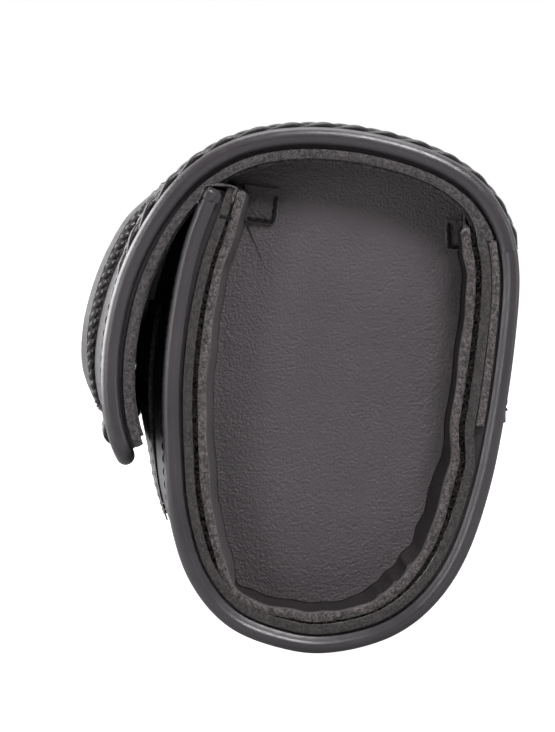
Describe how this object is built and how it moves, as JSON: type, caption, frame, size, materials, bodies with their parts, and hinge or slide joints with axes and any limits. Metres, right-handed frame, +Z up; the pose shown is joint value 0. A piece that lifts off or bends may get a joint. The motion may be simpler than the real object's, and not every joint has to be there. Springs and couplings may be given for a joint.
{
  "type": "leather tool pouch",
  "caption": "Rolled black leather tool pouch with recessed end panels, corded edges, a braided fold-over flap with snap straps, and strap slots in the back",
  "frame": {"origin": "centre of the bottom of the closed pouch's bounding box, on the surface it lies on", "axes": "+X along the pouch, -Y the front that the flap covers, +Y the back with the strap slots, +Z up"},
  "size_m": [0.3, 0.1167, 0.1338],
  "materials": {
    "shell_leather": "smooth black leather with a soft semi-gloss",
    "panel_leather": "pebble-grained matt charcoal leather",
    "trim_leather": "smooth black leather, semi-gloss",
    "lining": "dark brown-black suede split, matt",
    "piping": "smooth dark charcoal cord cover, satin",
    "braid": "plaited black leather lace, satin",
    "chrome": "polished nickel-plated snaps"
  },
  "bodies": {
    "pouch": {"wrap_shell": "shell_leather", "wrap_lining": "lining", "back_mount_strip": "shell_leather", "top_binding": "trim_leather", "end_panel_right": "panel_leather", "end_panel_left": "panel_leather", "body_piping_right": "piping", "body_piping_left": "piping", "corner_patch_front_right": "panel_leather", "corner_patch_front_left": "panel_leather", "corner_patch_back_right": "panel_leather", "corner_patch_back_left": "panel_leather", "body_strap_right": "trim_leather", "body_strap_left": "trim_leather", "snap_stud_right": "chrome", "snap_stud_left": "chrome", "snap_post_right": "chrome", "snap_post_left": "chrome"},
    "flap": {"flap_shell": "shell_leather", "flap_lining": "lining", "flap_piping": "piping", "flap_braid": "braid", "flap_strap_right": "trim_leather", "flap_strap_left": "trim_leather", "snap_socket_right": "chrome", "snap_socket_left": "chrome", "snap_cap_right": "chrome", "snap_cap_left": "chrome"}
  },
  "joints": [
    {"name": "flap_hinge", "type": "hinge", "parent": "pouch", "child": "flap", "pos_m": [0, 0.0552, 0.107], "axis": [-1, 0, 0], "range_deg": [0, 130]}
  ]
}
